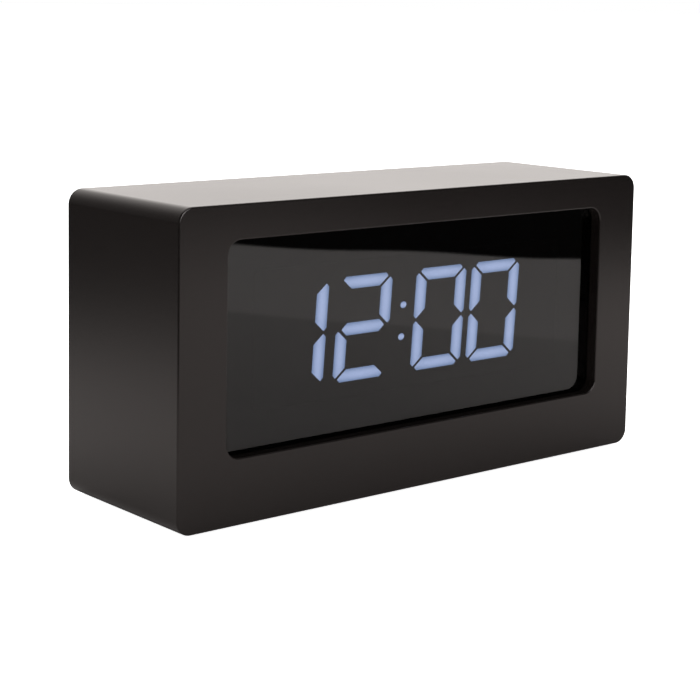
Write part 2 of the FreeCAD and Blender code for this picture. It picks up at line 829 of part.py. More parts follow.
def battery_contacts():
    """The two end contacts, each with a tab through the bay's wall for its wire."""
    pieces = []
    for z in cell_places():
        tab_x = (bay_x - contact_thickness, bay_x + bay_wall + tab_reach)
        tab = block(tab_x, around(tab_y, contact_thickness), around(z, tab_width))
        pieces.append(fuse([leaf(1, z), tab]))
    return group(pieces)


def battery_bridge():
    """The contact at the other end, which joins the two cells."""
    x = (-bay_x, -bay_x + contact_thickness)
    y = bay_floor_y + cell_radius + stop_gap
    strap = block(x, around(y, 4.0), around(bay_middle_z, 2 * cell_offset))
    return fuse([leaf(-1, z) for z in cell_places()] + [strap])


def battery_wire(z, x):
    """Lead from a contact tab up to the main board."""
    landing_z = main_board_z[0] + wire_landing
    points = [vec(bay_x + bay_wall + tab_reach, tab_y, z), vec(x, tab_y, z), vec(x, tab_y, landing_z),
              vec(x, main_board_back, landing_z)]
    outline = Part.Wire(Part.makeCircle(wire_radius, points[0], vec(1, 0, 0)))
    return swept(outline, bent_path(points, wire_bend))


def nodes():
    """Every node of the clock by its name."""
    made = {
        "casing": casing(),
        "corner_blocks": corner_blocks(),
        "front_lens": front_lens(),
        "lens_tape": lens_tape(),
        "display_holder": display_holder(),
        "display_holder_screws": display_holder_screws(),
        "display_reflector": display_reflector(),
        "colon_dots": colon_dots(),
        "alarm_indicator": alarm_indicator(),
        "segment_leds": segment_leds(),
        "display_board": display_board(),
        "display_board_screws": display_board_screws(),
        "display_driver_chip": display_driver_chip(),
        "display_connector": display_connector(),
        "display_ribbon_cable": display_ribbon_cable(),
        "main_connector": main_connector(),
        "main_board": main_board(),
        "main_board_screws": main_board_screws(),
        "clock_chip": clock_chip(),
        "timing_crystal": timing_crystal(),
        "smoothing_capacitor": smoothing_capacitor(),
        "voltage_regulator": voltage_regulator(),
        "buzzer": buzzer(),
        "power_inlet": power_inlet(),
        "power_inlet_pin": power_inlet_pin(),
        "rear_cover": rear_cover(),
        "rear_cover_screws": rear_cover_screws(),
        "battery_door": battery_door(),
        "backup_cell_upper": backup_cell(cell_places()[0], 1),
        "backup_cell_lower": backup_cell(cell_places()[1], -1),
        "battery_contacts": battery_contacts(),
        "battery_bridge": battery_bridge(),
        "battery_wire_red": battery_wire(cell_places()[0], wire_x["red"]),
        "battery_wire_black": battery_wire(cell_places()[1], wire_x["black"]),
    }
    made.update(feet())
    for digit in digit_centres:
        made[digit + "_segments_lit"] = segments(digit, True)
        made[digit + "_segments_unlit"] = segments(digit, False)
    for name in button_x:
        made[name + "_tact_switch"] = tact_switch(name)
        made[name + "_button"] = button(name)
    for name in switch_x:
        made[name + "_switch_body"] = switch_body(name)
        made[name + "_switch_knob"] = switch_knob(name)
    return made


for node, shape in nodes().items():
    shape.exportStep("parts/" + node + ".step")
    state = "valid" if shape.isValid() else "not valid"
    print(node, len(shape.Solids), "solids,", round(shape.Volume, 1), "mm3,", state)
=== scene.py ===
import json
import math

import bmesh
import bpy
from mathutils import Matrix, Vector

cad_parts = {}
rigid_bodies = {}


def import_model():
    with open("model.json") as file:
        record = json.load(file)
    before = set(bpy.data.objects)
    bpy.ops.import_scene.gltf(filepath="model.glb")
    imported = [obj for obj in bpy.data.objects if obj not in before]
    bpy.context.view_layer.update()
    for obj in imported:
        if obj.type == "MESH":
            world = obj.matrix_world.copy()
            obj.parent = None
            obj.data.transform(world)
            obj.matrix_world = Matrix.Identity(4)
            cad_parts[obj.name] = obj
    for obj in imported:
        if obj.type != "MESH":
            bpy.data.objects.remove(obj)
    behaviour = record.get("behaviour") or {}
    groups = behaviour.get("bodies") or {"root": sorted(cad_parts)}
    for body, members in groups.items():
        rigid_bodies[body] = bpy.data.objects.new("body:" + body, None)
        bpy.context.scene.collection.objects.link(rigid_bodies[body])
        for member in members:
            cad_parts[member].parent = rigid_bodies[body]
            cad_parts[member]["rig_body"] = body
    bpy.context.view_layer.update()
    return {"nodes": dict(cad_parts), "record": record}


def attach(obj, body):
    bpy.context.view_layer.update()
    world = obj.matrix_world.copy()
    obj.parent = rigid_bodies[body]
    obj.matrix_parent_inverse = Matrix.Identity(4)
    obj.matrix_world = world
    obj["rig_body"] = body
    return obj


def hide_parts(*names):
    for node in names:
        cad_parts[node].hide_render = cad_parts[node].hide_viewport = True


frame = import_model()
nodes = frame["nodes"]
scene = bpy.context.scene
mm = 0.001


# camera, floor and light
camera = {
    "place": (-0.3918, -0.45449, 0.16044),
    "yaw": 40.116,  # degrees from straight ahead, towards the right
    "pitch": -6.699,
    "roll": 0.987,
    "lens": 91.23,
    "sensor": 36.0,
    "shift": -0.2,
    "sees": (0.01, 60.0),  # nearest and furthest, in metres
}


def viewAxes(settings):
    # right, up and ahead of the camera, as unit vectors
    yaw, pitch, roll = (math.radians(settings[k]) for k in ("yaw", "pitch", "roll"))
    ahead = Vector((math.sin(yaw) * math.cos(pitch), math.cos(yaw) * math.cos(pitch), math.sin(pitch)))
    level = Vector((math.cos(yaw), -math.sin(yaw), 0))
    above = level.cross(ahead)
    right = math.cos(roll) * level + math.sin(roll) * above
    up = math.cos(roll) * above - math.sin(roll) * level
    return right, up, ahead


def makeCamera(settings):
    right, up, ahead = viewAxes(settings)
    data = bpy.data.cameras.new("camera")
    data.lens = settings["lens"]
    data.sensor_width = settings["sensor"]
    data.shift_y = settings["shift"]
    data.clip_start, data.clip_end = settings["sees"]
    viewer = bpy.data.objects.new("camera", data)
    turn = Matrix((right, up, -ahead)).transposed().to_4x4()
    viewer.matrix_world = Matrix.Translation(settings["place"]) @ turn
    scene.collection.objects.link(viewer)
    scene.camera = viewer


class Link:
    # a socket in a node tree; arithmetic on it adds Math nodes
    def __init__(self, tree, socket=None):
        self.tree = tree
        self.socket = socket

    def node(self, kind, settings=None, inputs=None, output=0):
        made = self.tree.nodes.new(kind)
        for name, value in (settings or {}).items():
            if name == "stops":
                self.setStops(made.color_ramp, value)
            else:
                setattr(made, name, value)
        for name, value in (inputs or {}).items():
            for one in value if isinstance(value, list) else [value]:
                if isinstance(one, Link):
                    self.tree.links.new(one.socket, made.inputs[name])
                else:
                    made.inputs[name].default_value = one
        return Link(self.tree, made.outputs[output]) if made.outputs else None

    def setStops(self, ramp, stops):
        while len(ramp.elements) < len(stops):
            ramp.elements.new(1.0)
        for element, (place, colour) in zip(ramp.elements, stops):
            element.position = place
            element.color = colour

    def maths(self, operation, a, b=0.0, clamp=False):
        return self.node("ShaderNodeMath", {"operation": operation, "use_clamp": clamp}, {0: a, 1: b})

    def __add__(self, other):
        return self.maths("ADD", self, other)

    def __radd__(self, other):
        return self.maths("ADD", other, self)

    def __sub__(self, other):
        return self.maths("SUBTRACT", self, other)

    def __rsub__(self, other):
        return self.maths("SUBTRACT", other, self)

    def __mul__(self, other):
        return self.maths("MULTIPLY", self, other)

    def __rmul__(self, other):
        return self.maths("MULTIPLY", other, self)

    def vector(self, x, y, z):
        return self.node("ShaderNodeCombineXYZ", inputs={0: x, 1: y, 2: z})

    def other(self, link, output):
        # another output of the node that a link comes from
        return Link(self.tree, link.socket.node.outputs[output])

    def parts(self, vector):
        # x, y and z of a vector
        apart = self.node("ShaderNodeSeparateXYZ", inputs={0: vector})
        return apart, self.other(apart, "Y"), self.other(apart, "Z")

    def remap(self, value, low, high, start=0.0, end=1.0, smooth=False):
        # start up to low, end from high, and a straight or a smooth way between
        return self.node("ShaderNodeMapRange", {"interpolation_type": "SMOOTHSTEP" if smooth else "LINEAR"}, {
            "Value": value, "From Min": low, "From Max": high, "To Min": start, "To Max": end})

    def mixColours(self, factor, first, second):
        return self.node("ShaderNodeMix", {"data_type": "RGBA"}, {0: factor, 6: first, 7: second}, output=2)

    def place(self):
        return self.node("ShaderNodeTexCoord", output="Object")

    def noise(self, scale, detail=2.0, roughness=0.5, stretch=None):
        where = self.place()
        if stretch:
            where = self.node("ShaderNodeMapping", inputs={"Vector": where, "Scale": stretch})
        return self.node("ShaderNodeTexNoise", inputs={"Vector": where, "Scale": scale, "Detail": detail,
                                                       "Roughness": roughness})

    def bump(self, height, strength, distance):
        return self.node("ShaderNodeBump", inputs={
            "Height": height, "Strength": strength, "Distance": distance})


def rgb(red, green, blue):
    return (red, green, blue, 1.0)


def makeMaterial(name, build):
    # build gets an empty Link and gives back the shader
    material = bpy.data.materials.new(name)
    material.use_nodes = True
    material.node_tree.nodes.clear()
    start = Link(material.node_tree)
    start.node("ShaderNodeOutputMaterial", inputs={"Surface": build(start)})
    return material


def principled(start, inputs):
    return start.node("ShaderNodeBsdfPrincipled", inputs=inputs)


def mottled(s, pattern, dark, light, roughness, raised=None, metallic=0.0):
    # two tones in a pattern that adds to the roughness; raised is the relief's strength and height in metres
    least, more = roughness
    inputs = {"Base Color": s.mixColours(pattern, rgb(*dark), rgb(*light)), "Metallic": metallic,
              "Roughness": least + more * pattern}
    if raised:
        inputs["Normal"] = s.bump(pattern, *raised)
    return principled(s, inputs)


stage = {
    "floorSize": 60.0,
    "floorColour": rgb(0.9, 0.9, 0.9),
    "floorGlow": 0.93,
    "skyForCamera": 1.0,
    "skyForLight": 1.1,
    "skyForGloss": 0.9,
    "skyLeast": 0.02,
    # the lit wall in reflections: how it comes up by direction, and what it has at least
    "wallBehind": (-0.35, 0.3),
    "wallAcross": (-0.6, 0.35),
    "wallUp": (0.02, 0.25),
    "wallLeast": 0.12,
    "softboxSize": (1.6, 1.2),
    "softboxPlace": (0.0, 0.1, 1.5),
    "softboxPower": 5.0,
    "warmLight": rgb(1.0, 0.95, 0.915),
    # tone of the mirrored sheet by distance across the view, in metres from the middle
    "sheetTones": ((-0.58, 0.045), (-0.43, 0.15), (-0.33, 0.35), (-0.25, 0.51), (-0.17, 0.55), (0.13, 0.52),
                   (0.30, 0.60)),
    "farTones": ((0.30, 0.826), (0.5605, 0.795), (0.5705, 0.02)),
    "farFade": (-0.2, 0.0, 0.87),  # along the view from, to, and what is left of the far tones there
    "sheetSpan": 0.8,
    "sheetFold": (0.30, 0.312),  # where the far tones take over, with its skew to the view and turning point
    "foldSkew": (0.17, 0.075),
    "sheetFront": (-0.28, -0.25),
    "sheetPaintedShadow": (0.74, 0.09),  # painted contact shadow: tone right beside the object, and how far it reaches
    "sheetTint": rgb(1.0, 0.945, 0.92),
    "sheetLift": 0.0003,
    "roomTone": 0.02,
    "objectHalf": (0.1, 0.031),  # half its width and depth
    "backdropAway": 1.6,
    "backdropAcross": (-0.62, 0.573),
    "backdropHeight": 1.1,
    "backdropGlow": 1.36,
    # a glowing card that only reflections see, for the hairline at the near corner
    "cardWay": (0.078, -0.926, 0.37),
    "cardAway": 1.5,
    "cardHalf": 0.4,
    "cardGlow": 6.0,
}


def viewGround(settings):
    # level directions across and along the view
    yaw = math.radians(settings["yaw"])
    return Vector((math.cos(yaw), -math.sin(yaw), 0)), Vector((math.sin(yaw), math.cos(yaw), 0))


def stagePlane(name, corners, material, onlyReflected):
    mesh = bpy.data.meshes.new(name)
    mesh.from_pydata([tuple(c) for c in corners], [], [(0, 1, 2, 3)])
    mesh.materials.append(material)
    card = bpy.data.objects.new(name, mesh)
    scene.collection.objects.link(card)
    if onlyReflected:
        card.visible_camera = False
        card.visible_diffuse = False
        card.visible_shadow = False


def makeSheetMaterial(settings):
    # pale paper that ends in a dark room on both sides and in front
    across, along = viewGround(camera)
    span, room = settings["sheetSpan"], settings["roomTone"]
    halfWidth, halfDepth = settings["objectHalf"]

    def build(s):
        def distance(direction):
            return s.node("ShaderNodeVectorMath", {"operation": "DOT_PRODUCT"},
                          {0: s.place(), 1: tuple(direction)}, output="Value")
        reach, depth = distance(across), distance(along)

        def tones(stops):
            stops = [((place + span) / (2 * span), rgb(tone, tone, tone)) for place, tone in stops]
            return s.node("ShaderNodeValToRGB", {"stops": stops}, {"Fac": (reach + span) * (0.5 / span)})
        skew, turnsAt = settings["foldSkew"]
        beyond = s.remap(reach + skew * (depth + turnsAt), *settings["sheetFold"])
        fadeFrom, fadeTo, left = settings["farFade"]
        kept = s.remap(depth, fadeFrom, fadeTo, 1.0, left)
        far = s.mixColours(kept, rgb(0, 0, 0), tones(settings["farTones"]))
        tone = s.mixColours(beyond, tones(settings["sheetTones"]), far)
        lit = s.mixColours(s.remap(depth, *settings["sheetFront"]), rgb(room, room, room), tone)
        # painted contact shadow on the mirrored sheet: darker close to the object's foot
        x, y, _ = s.parts(s.place())
        beside = s.maths("MAXIMUM", s.maths("ABSOLUTE", x) - halfWidth, 0.0)
        before = s.maths("MAXIMUM", s.maths("ABSOLUTE", y) - halfDepth, 0.0)
        gap = s.maths("SQRT", beside * beside + before * before)
        shade, shadowReach = settings["sheetPaintedShadow"]
        clear = s.remap(gap, 0.0, shadowReach, shade, 1.0, smooth=True)
        # the painted shadow factor multiplies the sheet's colour
        tinted = s.mixColours(clear, rgb(0, 0, 0), settings["sheetTint"])
        colour = s.node("ShaderNodeMix", {"data_type": "RGBA", "blend_type": "MULTIPLY"},
                        {0: 1.0, 6: lit, 7: tinted}, output=2)
        return principled(s, {"Base Color": colour, "Roughness": 1.0, "Specular IOR Level": 0.0})
    return makeMaterial("reflectedSheet", build)


def glowing(name, colour, strength):
    return makeMaterial(name, lambda s: s.node("ShaderNodeEmission", inputs={
        "Color": colour, "Strength": strength}))


def makeStage(settings):
    half = settings["floorSize"] / 2
    square = [Vector((x, y, 0)) for x, y in ((-half, -half), (half, -half), (half, half), (-half, half))]
    pale = makeMaterial("paleFloor", lambda s: principled(s, {
        "Base Color": settings["floorColour"], "Roughness": 0.9, "Specular IOR Level": 0.0,
        "Emission Color": rgb(1, 1, 1), "Emission Strength": settings["floorGlow"]}))
    stagePlane("floor", square, pale, False)
    lift = Vector((0, 0, settings["sheetLift"]))
    stagePlane("reflectedSheet", [corner + lift for corner in square], makeSheetMaterial(settings), True)
    across, along = viewGround(camera)
    left, right = (across * d for d in settings["backdropAcross"])
    away = along * settings["backdropAway"]
    rise = Vector((0, 0, settings["backdropHeight"]))
    stagePlane("backdrop", [away + left, away + right, away + right + rise, away + left + rise],
               glowing("backdropGlow", settings["warmLight"], settings["backdropGlow"]), True)
    facing = Vector(settings["cardWay"]).normalized()
    side = facing.cross(Vector((0, 0, 1))).normalized() * settings["cardHalf"]
    over = side.cross(facing)
    middle = facing * settings["cardAway"]
    low, high = middle - over, middle + over
    stagePlane("card", [low - side, low + side, high + side, high - side],
               glowing("cardGlow", rgb(1, 1, 1), settings["cardGlow"]), True)


def makeWorld(settings):
    # white to the camera, even light for the rest, and in reflections a lit wall at the upper right behind
    world = bpy.data.worlds.new("studio")
    world.use_nodes = True
    world.node_tree.nodes.clear()
    s = Link(world.node_tree)
    x, y, z = s.parts(s.node("ShaderNodeTexCoord", output="Generated"))
    behind = s.remap(y, *settings["wallBehind"], smooth=True)
    across = s.remap(x, *settings["wallAcross"], smooth=True)
    up = s.remap(z, *settings["wallUp"], smooth=True)
    wall = behind * (settings["wallLeast"] + across * up)
    seen = s.node("ShaderNodeLightPath", output="Is Camera Ray")
    gloss = s.maths("MAXIMUM", s.node("ShaderNodeLightPath", output="Is Glossy Ray"),
                    s.node("ShaderNodeLightPath", output="Is Transmission Ray"))
    mirrored = settings["skyForGloss"] * gloss * (settings["skyLeast"] + wall)
    unseen = mirrored + settings["skyForLight"] * (1 - gloss)
    strength = settings["skyForCamera"] * seen + unseen * (1 - seen)
    s.node("ShaderNodeOutputWorld", inputs={"Surface": s.node("ShaderNodeBackground", inputs={
        "Color": s.mixColours(gloss, rgb(1, 1, 1), settings["warmLight"]), "Strength": strength})})
    scene.world = world


def makeSoftbox(settings):
    light = bpy.data.lights.new("softbox", "AREA")
    light.shape = "RECTANGLE"
    light.size, light.size_y = settings["softboxSize"]
    light.energy = settings["softboxPower"]
    lamp = bpy.data.objects.new("softbox", light)
    lamp.location = settings["softboxPlace"]
    scene.collection.objects.link(lamp)


# making pieces
def setShading(mesh, angle):
    mesh.polygons.foreach_set("use_smooth", [True] * len(mesh.polygons))
    mesh.set_sharp_from_angle(angle=math.radians(angle))


def finishPiece(name, mesh, material, body, replaced=(), angle=32):
    # links the mesh as a piece, smooths its rounded parts and ties it to its CAD body
    if material:
        mesh.materials.clear()
        mesh.materials.append(material)
    setShading(mesh, angle)
    piece = bpy.data.objects.new(name, mesh)
    scene.collection.objects.link(piece)
    even = piece.modifiers.new("even", "WEIGHTED_NORMAL")
    even.keep_sharp = True
    even.weight = 100
    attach(piece, body)
    if replaced:
        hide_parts(*replaced)


def meshFrom(name, bm):
    bmesh.ops.recalc_face_normals(bm, faces=bm.faces)
    mesh = bpy.data.meshes.new(name)
    bm.to_mesh(mesh)
    bm.free()
    return mesh


def slotOf(node):
    for entry in frame["record"]["subparts"]:
        if entry["node"] == node:
            return entry["material_slot"]


def bodyOf(node):
    return nodes[node]["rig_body"]


joinWithin = 1e-7  # metres
flatWithin = 0.2  # degrees


def smoothed(node, material):
    # a copy of the node's mesh with corners joined and flat faces made whole, so that it shades evenly
    bm = bmesh.new()
    bm.from_mesh(nodes[node].data)
    bmesh.ops.remove_doubles(bm, verts=bm.verts, dist=joinWithin)
    bmesh.ops.dissolve_limit(bm, angle_limit=math.radians(flatWithin), verts=bm.verts, edges=bm.edges)
    mesh = bpy.data.meshes.new(node + "_smooth")
    bm.to_mesh(mesh)
    bm.free()
    finishPiece(node + "_look", mesh, material, bodyOf(node), (node,))


def roundedLoop(halfX, halfZ, middleZ, radius, y, steps):
    # points of a rounded rectangle at y, anticlockwise as seen from the front
    points = []
    for sx, sz, start in ((1, 1, 0), (-1, 1, 90), (-1, -1, 180), (1, -1, 270)):
        for i in range(steps + 1):
            turn = math.radians(start + 90 * i / steps)
            points.append(Vector((sx * (halfX - radius) + radius * math.cos(turn), y,
                                  middleZ + sz * (halfZ - radius) + radius * math.sin(turn))) * mm)
    return points


def bridged(loops, ring, capped):
    # a shell through loops that all have the same number of points
    bm = bmesh.new()
    rows = [[bm.verts.new(p) for p in loop] for loop in loops]
    count = len(rows[0])
    pairs = list(zip(rows, rows[1:]))
    if ring:
        pairs.append((rows[-1], rows[0]))
    for a, b in pairs:
        for i in range(count):
            j = (i + 1) % count
            bm.faces.new((a[i], a[j], b[j], b[i]))
    if capped:
        bm.faces.new(rows[0])
        bm.faces.new(rows[-1])
    return bm


# shapes that repeat
def repeatTree(name, sizes, makeShape):
    # a tree that puts one shape on every point of a mesh, tilted, turned and scaled as the point asks
    tree = bpy.data.node_groups.new(name, "GeometryNodeTree")
    tree.interface.new_socket("Places", in_out="INPUT", socket_type="NodeSocketGeometry")
    tree.interface.new_socket("Finish", in_out="INPUT", socket_type="NodeSocketMaterial")
    for label, value in {**sizes, "Tilt": 0.0, "Loose turn": 0.0}.items():
        tree.interface.new_socket(label, in_out="INPUT", socket_type="NodeSocketFloat").default_value = value
    tree.interface.new_socket("Seed", in_out="INPUT", socket_type="NodeSocketInt").default_value = 1
    tree.interface.new_socket("Made", in_out="OUTPUT", socket_type="NodeSocketGeometry")
    s = Link(tree)
    given = s.node("NodeGroupInput")
    shape = makeShape(s, {label: s.other(given, label) for label in sizes})
    turn = s.node("GeometryNodeInputNamedAttribute", {"data_type": "FLOAT"}, {"Name": "turn"})
    share = s.node("GeometryNodeInputNamedAttribute", {"data_type": "FLOAT"}, {"Name": "share"})
    loose = s.node("FunctionNodeRandomValue", {"data_type": "FLOAT"},
                   {2: 0.0, 3: s.other(given, "Loose turn"), "Seed": s.other(given, "Seed")}, output=1)
    spread = s.node("GeometryNodeInstanceOnPoints", inputs={
        "Points": s.other(given, "Places"), "Instance": shape,
        "Rotation": s.vector(s.other(given, "Tilt"), turn + loose, 0.0),
        "Scale": s.vector(share, share, 1.0)})
    real = s.node("GeometryNodeRealizeInstances", inputs={"Geometry": spread})
    made = s.node("GeometryNodeSetMaterial", inputs={"Geometry": real, "Material": s.other(given, "Finish")})
    s.node("NodeGroupOutput", inputs={"Made": made})
    return tree


def repeated(name, tree, places, finish, values):
    # runs the tree on places, each (x, y, z in mm, turn in degrees, share), and gives back a plain mesh
    mesh = bpy.data.meshes.new(name + "_places")
    mesh.from_pydata([Vector(place[:3]) * mm for place in places], [], [])
    for label, column in (("turn", [math.radians(place[3]) for place in places]),
                          ("share", [place[4] for place in places])):
        mesh.attributes.new(label, "FLOAT", "POINT").data.foreach_set("value", column)
    holder = bpy.data.objects.new(name + "_places", mesh)
    scene.collection.objects.link(holder)
    maker = holder.modifiers.new("maker", "NODES")
    maker.node_group = tree
    for item in tree.interface.items_tree:
        if item.name in values:
            maker[item.identifier] = values[item.name]
        elif item.name == "Finish":
            maker[item.identifier] = finish
    result = bpy.data.meshes.new_from_object(holder.evaluated_get(bpy.context.evaluated_depsgraph_get()))
    holder.modifiers.remove(maker)
    bpy.data.objects.remove(holder)
    result.name = name
    return result


def moved(s, geometry, up):
    return s.node("GeometryNodeTransform", inputs={
        "Geometry": geometry, "Translation": s.vector(0.0, 0.0, up)})


screwForm = {
    "slotLong": 1.24, "slotWide": 0.26,  # in head radii
    "slotHigh": 1.5, "slotMiddle": 1.2, "crown": 0.42,  # in head heights
    "crownPower": 5.0,
    "thread": 0.07, "tip": 0.45,  # in shank radii
    "tipTurns": 2,
    "headSides": 32, "headRings": 7, "shankSides": 14, "shankRings": 60,
    "pitch": 0.9, "firstSeed": 11, "sharpFrom": 40,
}


def cutCross(s, head, radius, height):
    # two crossed slots cut into the head one after the other
    f = screwForm
    arm, blade, high = f["slotLong"] * radius, f["slotWide"] * radius, f["slotHigh"] * height
    for size in (s.vector(arm, blade, high), s.vector(blade, arm, high)):
        slot = moved(s, s.node("GeometryNodeMeshCube", inputs={"Size": size}), f["slotMiddle"] * height)
        head = s.node("GeometryNodeMeshBoolean", {"operation": "DIFFERENCE", "solver": "EXACT"},
                      {"Mesh 1": head, "Mesh 2": slot})
    return head


def screwShape(s, sizes):
    # domed pan head over a threaded shank with a tapered tip
    f = screwForm
    radius, height, length, pitch = (sizes[k] for k in ("Head radius", "Head height", "Length", "Pitch"))
    head = s.node("GeometryNodeMeshCylinder", {"fill_type": "TRIANGLE_FAN"}, {
        "Vertices": f["headSides"], "Fill Segments": f["headRings"], "Radius": radius, "Depth": height})
    x, y, z = s.parts(s.node("GeometryNodeInputPosition"))
    fromAxis = s.maths("DIVIDE", s.maths("SQRT", x * x + y * y), radius)
    drop = -f["crown"] * height * s.maths("POWER", fromAxis, f["crownPower"])
    domed = s.node("GeometryNodeSetPosition", inputs={
        "Geometry": head, "Selection": s.other(head, "Top"), "Offset": s.vector(0.0, 0.0, drop)})
    crossed = cutCross(s, moved(s, domed, 0.5 * height), radius, height)

    shank = s.node("GeometryNodeMeshCylinder", inputs={
        "Vertices": f["shankSides"], "Side Segments": f["shankRings"], "Radius": sizes["Shank radius"],
        "Depth": length})
    wind = s.maths("ARCTAN2", y, x) + z * s.maths("DIVIDE", 2 * math.pi, pitch)
    taper = s.remap(z + 0.5 * length, 0.0, f["tipTurns"] * pitch, -f["tip"], 0.0)
    shrink = -f["thread"] * (1 + s.maths("SINE", wind)) + taper
    turned = s.node("GeometryNodeSetPosition", inputs={
        "Geometry": shank, "Offset": s.vector(x * shrink, y * shrink, 0.0)})
    return s.node("GeometryNodeJoinGeometry", inputs={"Geometry": [crossed, moved(s, turned, -0.5 * length)]})


chips = {
    "board": -14.5, "long": 3.4, "short": 2.7, "height": 0.8, "dotShare": 0.45,
    "bodyHigh": 0.85, "windowHigh": 0.5, "windowMiddle": 0.75,  # in heights
    "windowRadius": 0.36,  # in widths
    "windowSides": 20,
}


def marked(s, geometry, value):
    # says which part of a shape a point belongs to, for the material
    return s.node("GeometryNodeStoreNamedAttribute", {"data_type": "FLOAT", "domain": "POINT"},
                  {"Geometry": geometry, "Name": "phosphor", "Value": value})


def chipShape(s, sizes):
    # flat package with a round phosphor window on its light side
    high = chips["bodyHigh"] * sizes["Height"]
    body = s.node("GeometryNodeMeshCube", inputs={"Size": s.vector(sizes["Long"], sizes["Short"], high)})
    window = s.node("GeometryNodeMeshCylinder", inputs={
        "Vertices": chips["windowSides"], "Radius": chips["windowRadius"] * sizes["Short"],
        "Depth": chips["windowHigh"] * sizes["Height"]})
    package = marked(s, moved(s, body, 0.5 * high), 0.0)
    light = marked(s, moved(s, window, chips["windowMiddle"] * sizes["Height"]), 1.0)
    return s.node("GeometryNodeJoinGeometry", inputs={"Geometry": [package, light]})


joints = {
    "board": 14.0, "radius": 0.85, "height": 0.65, "topShare": 0.3, "hollow": 0.28, "sides": 12, "rings": 4,
    "looseTurn": 1.5, "seed": 5, "sharpFrom": 50,
    # middle of each part and where its pins are from there
    "parts": (
        ([(48, 76), (28, 76), (0, 76), (-28, 76), (-48, 76)],
         [(-3.25, -2.25), (3.25, -2.25), (-3.25, 2.25), (3.25, 2.25)]),
        ([(-14, 54), (-48, 54)], [(-5, 0), (-2.5, 0), (0, 0), (2.5, 0), (5, 0)]),
        ([(28, 54)], [(-3.8, 0), (3.8, 0)]),
        ([(60, 54)], [(2.8, -4.2), (2.8, 4.2), (4.4, 0)]),
    ),
}


def jointShape(s, sizes):
    # cone of solder with a hollow flank around the end of a pin
    cone = s.node("GeometryNodeMeshCone", inputs={
        "Vertices": joints["sides"], "Side Segments": joints["rings"],
        "Radius Top": joints["topShare"] * sizes["Radius"], "Radius Bottom": sizes["Radius"],
        "Depth": sizes["Height"]})
    x, y, z = s.parts(s.node("GeometryNodeInputPosition"))
    hollow = -joints["hollow"] * s.maths("SINE", s.maths("DIVIDE", math.pi * z, sizes["Height"]))
    return s.node("GeometryNodeSetPosition", inputs={
        "Geometry": cone, "Offset": s.vector(x * hollow, y * hollow, 0.0)})


# casing, in millimetres
casing = {
    "halfWidth": 100.0, "halfHeight": 49.5, "middleZ": 50.5, "front": -31.0, "back": 31.0,
    "corner": 5.0, "arris": 0.6,
    "window": (82.0, 33.5), "windowZ": 55.5, "windowCorner": 5.0, "windowArris": 0.45,
    "recess": 4.2,
    "pocket": (86.3, 37.8), "pocketCorner": 4.3,
    "boardBack": -22.0,
    "cavity": (94.0, 43.5), "cavityCorner": 0.3,
    "coverSeat": 26.0, "ledge": (96.2, 45.7), "ledgeCorner": 3.0,
    "cornerSteps": 14, "arrisSteps": 5, "sharpFrom": 25,
}


def casingLoops(c):
    steps = c["cornerSteps"]
    turns = [math.radians(90 * i / c["arrisSteps"]) for i in range(c["arrisSteps"] + 1)]
    loops = []

    def add(half, middleZ, corner, y):
        loops.append(roundedLoop(half[0], half[1], middleZ, corner, y, steps))

    def outer(inset, y):
        add((c["halfWidth"] - inset, c["halfHeight"] - inset), c["middleZ"], c["corner"] - inset, y)

    def around(half, middleZ, corner, outset, y):
        add((half[0] + outset, half[1] + outset), middleZ, corner + outset, y)

    r = c["arris"]
    for t in turns:  # front edge of the outside
        outer(r * (1 - math.cos(t)), c["front"] + r * (1 - math.sin(t)))
    w = c["windowArris"]
    for t in turns:  # window's front edge
        around(c["window"], c["windowZ"], c["windowCorner"], w * (1 - math.sin(t)),
               c["front"] + w * (1 - math.cos(t)))
    add(c["window"], c["windowZ"], c["windowCorner"], c["front"] + c["recess"])
    add(c["pocket"], c["windowZ"], c["pocketCorner"], c["front"] + c["recess"])
    add(c["pocket"], c["windowZ"], c["pocketCorner"], c["boardBack"])
    add(c["cavity"], c["middleZ"], c["cavityCorner"], c["boardBack"])
    add(c["cavity"], c["middleZ"], c["cavityCorner"], c["coverSeat"])
    add(c["ledge"], c["middleZ"], c["ledgeCorner"], c["coverSeat"])
    for t in turns:  # rear edge of the inside
        around(c["ledge"], c["middleZ"], c["ledgeCorner"], r * (1 - math.cos(t)),
               c["back"] - r * (1 - math.sin(t)))
    for t in reversed(turns):  # rear edge of the outside
        outer(r * (1 - math.cos(t)), c["back"] - r * (1 - math.sin(t)))
    return loops


def makeCasing(c, material):
    mesh = meshFrom("casing_shell", bridged(casingLoops(c), True, False))
    finishPiece("casing_shell", mesh, material, bodyOf("casing"), ("casing",),
                c["sharpFrom"])


def blackLacquer(s):
    # sprayed satin lacquer: warm black, a faint cloudiness and a fine orange peel
    cloud = s.noise(14.0, 3.0)
    speck = s.noise(900.0, 2.0)
    colour = s.mixColours(cloud, rgb(0.0032, 0.0023, 0.0020), rgb(0.0040, 0.0029, 0.0026))
    roughness = 0.19 + 0.05 * cloud + 0.03 * speck
    peel = s.noise(420.0, 1.5) + 0.35 * s.noise(2600.0, 1.0)
    return principled(s, {"Base Color": colour, "Roughness": roughness, "IOR": 1.5,
                          "Specular Tint": rgb(1.0, 0.93, 0.915), "Normal": s.bump(peel, 0.06, 0.0001)})


# lens and display, in millimetres unless it says otherwise
lensPane = {
    "half": (86.0, 37.5), "middleZ": 55.5, "corner": 4.0, "front": -26.5, "back": -24.56,
    "edge": 0.15, "steps": 8,
    # faint wave of the surface: metres, and its lean in radians
    "waveStart": 0.045, "waveLength": 0.093, "waveLean": 0.0009,
}

